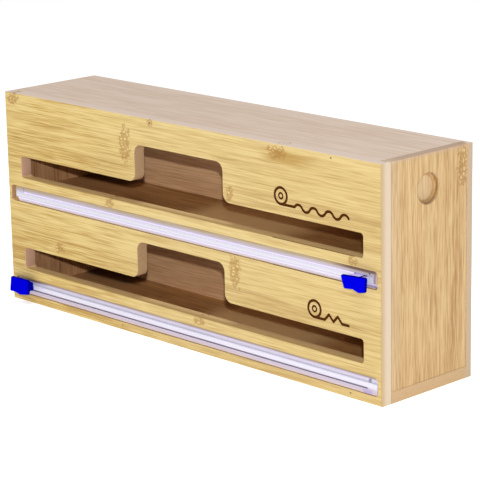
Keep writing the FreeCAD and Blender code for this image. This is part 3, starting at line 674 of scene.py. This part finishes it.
def clear_plastic(level):
    """Milky plastic whose tint, with painted light and shade in it, changes across the rail."""
    s = Shader(level + "_clear_plastic")
    x, y, z = s.place()
    up = s.less(z, RAIL_LINE[level])
    share = s.over(s.sum(up, HALF_HEIGHT), 2 * HALF_HEIGHT)
    stops = [(height / HALF_HEIGHT / 2 + 0.5, tone) for height, tone in RAIL_TINT_AND_SHADE[level]]
    tint = s.gradient(share, stops)
    haze = s.noise(s.stretched((x, y, z), (0.03, 2.0, 2.0)), 2.0)
    tint = s.blend(s.times(s.rise(haze, 0.4, 0.7), 0.25), tint, HAZE)
    # a painted shadow of the groove darkens the top edge of the rail behind the slider
    inner, outer = RAIL_SHADOW[level]
    behind = s.times(s.rise(x, inner, outer), s.rise(up, 3.0, 4.2))
    tint = s.blend(s.times(behind, 0.85), tint, GROOVE_SHADOW)
    # painted shade on the edges and corners near the right ends, and the painted shadow of the upper
    # slider
    for first, last, low, high, stain_or_painted_light, amount in RAIL_END_SHADING[level]:
        along = s.between(x, first - 0.5, first + 0.5, last - 0.5, last + 0.5)
        across = s.between(up, low - 0.3, low + 0.3, high - 0.3, high + 0.3)
        tint = s.blend(s.product(along, across, amount), tint, stain_or_painted_light)
    s.set(colour=tint, roughness=0.22, specular=0.5)
    # painted light: the slit and the channel behind it glow on the upper rail, lifting their shade
    s.feed(s.surface.inputs["Emission Color"], GLOW_TINT)
    inside = s.times(s.rise(y, FACE_Y + 0.15, FACE_Y + 0.5), s.rise(s.size(up), 3.7, 3.1))
    s.feed(s.surface.inputs["Emission Strength"], s.times(inside, SLIT_GLOW[level]))
    return s.material


def blue_plastic(level):
    """Flat deep blue with painted shade on its rims; the top of the saddle carries painted shade on the
    lower slider and a painted reflection of the room on the upper one.
    """
    s = Shader(level + "_blue_plastic")
    place = s.place()
    grain = s.noise(s.stretched(place, (3.0, 3.0, 3.0)), 2.0)
    tint = s.gradient(grain, ((0.3, BLUE_LOW), (0.7, BLUE_HIGH)))
    back, up = s.facing()[1:]
    # painted shade on the faces that turn away from the front
    rim_shade = s.rise(s.size(back), 0.96, 0.70)
    tint = s.blend(s.times(rim_shade, 0.85), tint, BLUE_RIM_SHADE)
    # painted on the top of the saddle: shade on the lower slider, a reflection of the room on the upper
    # one
    saddle = s.rise(place[1], FACE_Y + GRIP_BACK, FACE_Y + GRIP_BACK + 0.3)
    tint = s.blend(s.times(s.rise(up, 0.6, 0.9), saddle), tint, SADDLE_TOP_LIGHTING[level])
    s.set(colour=tint, roughness=0.42, specular=0.0, normal=s.bump(grain, BLUE_RELIEF * MM, 0.4))
    return s.material


def steel(name, bright, roughness):
    """Brushed steel, a fifth darker between its brightest lines."""
    s = Shader(name)
    brushed = s.noise(s.stretched(s.place(), (0.8, 9.0, 9.0)), 2.0)
    darker = tuple(level * 0.8 for level in bright)
    s.set(colour=s.gradient(brushed, ((0.3, darker), (0.7, bright))), roughness=roughness)
    s.feed(s.surface.inputs["Metallic"], 1.0)
    return s.material


def tape_foam():
    s = Shader("tape_foam")
    pores = s.cells(s.stretched(s.place(), (3.0, 3.0, 3.0)))
    s.set(colour=s.gradient(pores, ((0.1, FOAM_LOW), (0.5, FOAM_HIGH))), roughness=0.7)
    return s.material


# ---------------------------------------------------------------- mesh building, in millimetres

ARC_STEPS = 5
EASE_STEPS = 3
PIN_STEPS = 20
SMALLEST_RADIUS = 0.02
EASED_ANGLE = math.radians(40)
SHARP_ANGLE = math.radians(32)
# cutting tools start in front of the rail, and the one that rounds a plug ends behind it
TOOL_FRONT = -2.0
TOOL_BACK = 5.0


def crossing(a, b, c, d):
    """Where the line through a and b meets the line through c and d."""
    first = b - a
    second = d - c
    return a + first * ((c - a).cross(second) / first.cross(second))


def inset(corners, distance):
    """A counterclockwise outline of (x, y, radius) corners, moved inwards."""
    count = len(corners)
    points = [Vector(corner[:2]) for corner in corners]
    moved = []
    for i, here in enumerate(points):
        after = points[(i + 1) % count]
        along = (after - here).normalized()
        inward = Vector((-along.y, along.x)) * distance
        moved.append((here + inward, after + inward))
    result = []
    for i, corner in enumerate(corners):
        point = crossing(*moved[i - 1], *moved[i])
        before = points[i] - points[i - 1]
        after = points[(i + 1) % count] - points[i]
        convex = before.cross(after) > 0
        radius = max(corner[2] - distance, SMALLEST_RADIUS) if convex else corner[2] + distance
        result.append((point.x, point.y, radius))
    return result


def rounded(corners):
    """The points of an outline of (x, y, radius) corners, each one an arc of a few steps."""
    count = len(corners)
    points = []
    for i in range(count):
        here = Vector(corners[i][:2])
        to_before = (Vector(corners[i - 1][:2]) - here).normalized()
        to_after = (Vector(corners[(i + 1) % count][:2]) - here).normalized()
        radius = corners[i][2]
        half = to_before.angle(to_after) / 2
        centre = here + (to_before + to_after).normalized() * (radius / math.sin(half))
        first = (here + to_before * (radius / math.tan(half)) - centre).normalized()
        last = (here + to_after * (radius / math.tan(half)) - centre).normalized()
        for step in range(ARC_STEPS + 1):
            points.append(centre + first.slerp(last, step / ARC_STEPS) * radius)
    return points


def loft(name, rings):
    """A closed solid through rings of points that all have the same number of points."""
    mesh = bmesh.new()
    rows = [[mesh.verts.new(point) for point in ring] for ring in rings]
    count = len(rows[0])
    for low, high in zip(rows, rows[1:]):
        for i in range(count):
            mesh.faces.new((low[i], low[(i + 1) % count], high[(i + 1) % count], high[i]))
    mesh.faces.new(list(reversed(rows[0])))
    mesh.faces.new(rows[-1])
    bmesh.ops.recalc_face_normals(mesh, faces=mesh.faces)
    data = bpy.data.meshes.new(name)
    mesh.to_mesh(data)
    mesh.free()
    solid = bpy.data.objects.new(name, data)
    bpy.context.scene.collection.objects.link(solid)
    return solid


def bar(name, corners, start, end):
    """A (y, z) outline drawn out along X."""
    points = rounded(corners)
    return loft(name, [[(x, p.x, p.y) for p in points] for x in (start, end)])


def plate(name, corners, layers):
    """An (x, z) outline stacked along Y, as (y, inset) layers."""
    return loft(name, [[(p.x, y, p.y) for p in rounded(inset(corners, depth))] for y, depth in layers])


def apply_modifiers(solid):
    graph = bpy.context.evaluated_depsgraph_get()
    data = bpy.data.meshes.new_from_object(solid.evaluated_get(graph))
    solid.modifiers.clear()
    solid.data = data


def combine(solid, tool, operation):
    """Join another solid to this one, cut it away or keep what both share."""
    modifier = solid.modifiers.new("combine", "BOOLEAN")
    modifier.operation = operation
    modifier.solver = "EXACT"
    modifier.object = tool
    apply_modifiers(solid)
    bpy.data.objects.remove(tool)


def ease(solid, width):
    """Round every sharp edge a little."""
    modifier = solid.modifiers.new("ease", "BEVEL")
    modifier.width = width
    modifier.segments = EASE_STEPS
    modifier.limit_method = "ANGLE"
    modifier.angle_limit = EASED_ANGLE
    modifier.harden_normals = False
    apply_modifiers(solid)


def mirror(solid):
    """Swap a piece end for end."""
    mesh = bmesh.new()
    mesh.from_mesh(solid.data)
    for vert in mesh.verts:
        vert.co.x = -vert.co.x
    bmesh.ops.reverse_faces(mesh, faces=mesh.faces)
    mesh.to_mesh(solid.data)
    mesh.free()


def pin_drill(along):
    """A round tool as wide as a pin head, at that place along the turned rail."""
    turns = [2 * math.pi * i / PIN_STEPS for i in range(PIN_STEPS)]
    ring = [(along + PIN_HEAD / 2 * math.cos(t), -PIN_UP + PIN_HEAD / 2 * math.sin(t)) for t in turns]
    return loft("pin_drill", [[(x, y, z) for x, z in ring] for y in (TOOL_FRONT, FLANGE_SUNK)])


def place_piece(solid, level, shift, material, body, node):
    """Put a piece drawn about its rail's line on the box, in place of a packed one.

    Upper pieces are drawn the way the lower ones are, and turned half round here.
    """
    turn = -1 if level == "upper" else 1
    mesh = bmesh.new()
    mesh.from_mesh(solid.data)
    for vert in mesh.verts:
        x, y, z = vert.co
        vert.co = Vector((turn * x + shift, y + FACE_Y, turn * z + RAIL_LINE[level])) * MM
    for face in mesh.faces:
        face.smooth = True
    for edge in mesh.edges:
        if len(edge.link_faces) == 2 and edge.calc_face_angle(0.0) > SHARP_ANGLE:
            edge.smooth = False
    mesh.to_mesh(solid.data)
    mesh.free()
    solid.data.materials.clear()
    solid.data.materials.append(material)
    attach(solid, body)
    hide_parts(node)


# ---------------------------------------------------------------- the rails and their plugs

# outlines across the rail as (y, up, radius)
SKIRT = ((RAIL_BACK, -HALF_HEIGHT, 0.2), (RAIL_BACK, HALF_HEIGHT, 0.2), (FLANGE_SUNK, HALF_HEIGHT, 0.35),
         (FLANGE_SUNK, STEP_UP, 0.35), (PROUD, STEP_UP, 0.45))
CHANNEL = ((PROUD, SLIT_TOP, 0.22), (CHANNEL_ROOF, SLIT_TOP, 0.1), (CHANNEL_ROOF, CHANNEL_TOP, 0.1),
           (CHANNEL_FLOOR, CHANNEL_TOP, 0.2), (CHANNEL_FLOOR, CHANNEL_LOW, 0.2),
           (CHANNEL_ROOF, CHANNEL_LOW, 0.1), (CHANNEL_ROOF, SLIT_LOW, 0.1), (LIP_PROUD, SLIT_LOW, 0.22))
LIP = ((LIP_SUNK, -HALF_HEIGHT, 0.5),)
# the front of a plug has no slit, only the small step down to the lip
PLUG_FRONT = ((PROUD, SLIT_TOP, SMALLEST_RADIUS), (LIP_PROUD, SLIT_LOW, SMALLEST_RADIUS))
TONGUE_FRONT = 0.0
TONGUE = ((CHANNEL_FLOOR - PLAY, CHANNEL_LOW + PLAY, 0.1), (CHANNEL_FLOOR - PLAY, CHANNEL_TOP - PLAY, 0.1),
          (CHANNEL_ROOF + PLAY, CHANNEL_TOP - PLAY, 0.05), (CHANNEL_ROOF + PLAY, SLIT_TOP - PLAY, 0.05),
          (TONGUE_FRONT, SLIT_TOP - PLAY, 0.05), (TONGUE_FRONT, SLIT_LOW + PLAY, 0.05),
          (CHANNEL_ROOF + PLAY, SLIT_LOW + PLAY, 0.05), (CHANNEL_ROOF + PLAY, CHANNEL_LOW + PLAY, 0.05))
TONGUE_BURIED = 0.8
PLUG_EASE = 0.25
# the outline that rounds a plug's corners starts inside the rail and stands a hair off its flat sides
SHAPE_INSIDE = 1.0
HAIR = 0.01


def make_rail(level, material):
    rail = bar(level + "_rail", SKIRT + CHANNEL + LIP, NEAR_END, FAR_END[level])
    if level == "upper":
        for along in (NEAR_END + PIN_FROM_END, FAR_END[level] - PIN_FROM_END):
            combine(rail, pin_drill(along), "DIFFERENCE")
    place_piece(rail, level, 0.0, material, "box", level + "_cutter_rail")


def make_plug(level, side, material):
    """The end of the rail with rounded corners, and a tongue that fills the channel."""
    drawn_left = (side == "left") != (level == "upper")
    end = -NEAR_END if drawn_left else FAR_END[level]
    far = end + PLUG_END
    name = level + "_rail_" + side + "_plug"
    plug = bar(name + "_end", SKIRT + PLUG_FRONT + LIP, end + PLAY, far)
    start = end - SHAPE_INSIDE
    height = HALF_HEIGHT + HAIR
    outline = ((start, -height, 0.1), (far, -height, PLUG_ROUND), (far, height, PLUG_ROUND),
               (start, height, 0.1))
    combine(plug, plate("shape", outline, ((TOOL_FRONT, 0.0), (TOOL_BACK, 0.0))), "INTERSECT")
    ease(plug, PLUG_EASE)
    combine(plug, bar("tongue", TONGUE, end - PLUG_INSERT, far - TONGUE_BURIED), "UNION")
    if level == "upper":
        combine(plug, pin_drill(end - PIN_FROM_END), "DIFFERENCE")
    if drawn_left:
        mirror(plug)
    place_piece(plug, level, 0.0, material, "box", name)


# ---------------------------------------------------------------- the slide cutters

# thumb plates as (x, up, radius), counterclockwise from the bottom left as seen from the front
LOWER_PLATE = ((-11.8, -3.5, 0.9), (-7.2, -3.3, 3.0), (-1.2, -4.3, 2.6), (7.1, -3.1, 1.3), (8.3, 6.8, 0.9),
               (-10.1, 6.8, 0.9))
UPPER_PLATE = ((-6.0, -6.2, 1.1), (0.6, -5.6, 3.0), (5.0, -6.9, 3.0), (9.9, -5.8, 1.3), (10.5, 2.6, 1.0),
               (-8.6, 1.5, 0.9))
# the thumb plate's thickness as (y, inset) layers, from its back to its rounded front
RIM = ((GRIP_BACK, 0.25), (GRIP_BACK - 0.2, 0.0), (GRIP_FRONT + 0.75, 0.0), (GRIP_FRONT + 0.42, 0.09),
       (GRIP_FRONT + 0.18, 0.28), (GRIP_FRONT + 0.04, 0.55), (GRIP_FRONT, 0.85))
SADDLE = ((SADDLE_LEFT, SADDLE_LOW, 0.3), (SADDLE_RIGHT, SADDLE_LOW, 0.3),
          (SADDLE_RIGHT, SADDLE_HIGH, 0.9), (SADDLE_LEFT, SADDLE_HIGH, 0.9))
SADDLE_LAYERS = ((GRIP_BACK - 0.6, 0.0), (SADDLE_BACK - 0.3, 0.0), (SADDLE_BACK, 0.28))
FOOT = ((-HALF_FOOT, FOOT_LOW, 0.5), (HALF_FOOT, FOOT_LOW, 0.5), (HALF_FOOT, FOOT_HIGH, 0.5),
        (-HALF_FOOT, FOOT_HIGH, 0.5))
FOOT_LAYERS = ((FOOT_BACK, 0.15), (FOOT_BACK - 0.15, 0.0), (FOOT_FRONT + 0.15, 0.0), (FOOT_FRONT, 0.15))
WEB = ((-HALF_WEB, WEB_LOW, 0.05), (HALF_WEB, WEB_LOW, 0.05), (HALF_WEB, WEB_HIGH, 0.05),
       (-HALF_WEB, WEB_HIGH, 0.05))
WEB_LAYERS = ((FOOT_FRONT + 0.4, 0.0), (GRIP_BACK - 0.9, 0.0))


def place_on_slider(solid, level, material, part):
    place_piece(solid, level, SLIDER_PLACE[level], material, level + "_slider", level + "_slider_" + part)


def make_grip(level, material):
    """A thin thumb plate on the front of a saddle that reaches back to the rail."""
    outline = LOWER_PLATE
    if level == "upper":
        outline = tuple((-x, -up, radius) for x, up, radius in UPPER_PLATE)
    grip = plate(level + "_grip", outline, RIM)
    combine(grip, plate("saddle", SADDLE, SADDLE_LAYERS), "UNION")
    place_on_slider(grip, level, material, "grip")


def make_shoe(level, material):
    """The foot that runs in the channel, and the thin web that carries it through the slit."""
    shoe = plate(level + "_shoe", FOOT, FOOT_LAYERS)
    combine(shoe, plate("web", WEB, WEB_LAYERS), "UNION")
    place_on_slider(shoe, level, material, "shoe")


def leaf_ring(neck, waist, reach, up):
    """One level of the blade: straight in the saddle, then widening to its back."""
    corners = ((-neck, BLADE_FRONT), (neck, BLADE_FRONT), (waist, GRIP_BACK), (reach, BLADE_BACK),
               (-reach, BLADE_BACK), (-waist, GRIP_BACK))
    return [(x, y, up) for x, y in corners]


def make_blade(level, material):
    """A steel leaf, ground from both faces to a cutting edge at each slanted end."""
    ground = (BLADE_NECK, BLADE_NECK - NECK_GRIND, BLADE_REACH - EDGE_GRIND)
    full = (BLADE_NECK, BLADE_NECK, BLADE_REACH)
    rings = [leaf_ring(*ground, WEB_HIGH), leaf_ring(*full, (WEB_HIGH + BLADE_HIGH) / 2),
             leaf_ring(*ground, BLADE_HIGH)]
    blade = loft(level + "_blade", rings)
    place_on_slider(blade, level, material, "blade")


# ---------------------------------------------------------------- build

make_camera()
make_room()
dress_boards()
blade_steel = steel("blade_steel", BLADE_BRIGHT, 0.25)
foam = tape_foam()
for level in ("lower", "upper"):
    clear = clear_plastic(level)
    blue = blue_plastic(level)
    make_rail(level, clear)
    for side in ("left", "right"):
        make_plug(level, side, clear)
    make_grip(level, blue)
    make_shoe(level, blue)
    make_blade(level, blade_steel)
    dress(level + "_rail_tape", foam)
brad_steel = steel("brad_steel", BRAD_BRIGHT, 0.45)
dress("front_brads", brad_steel)
dress("back_brads", brad_steel)
dress("rail_pins", steel("pin_steel", PIN_BRIGHT, 0.35))
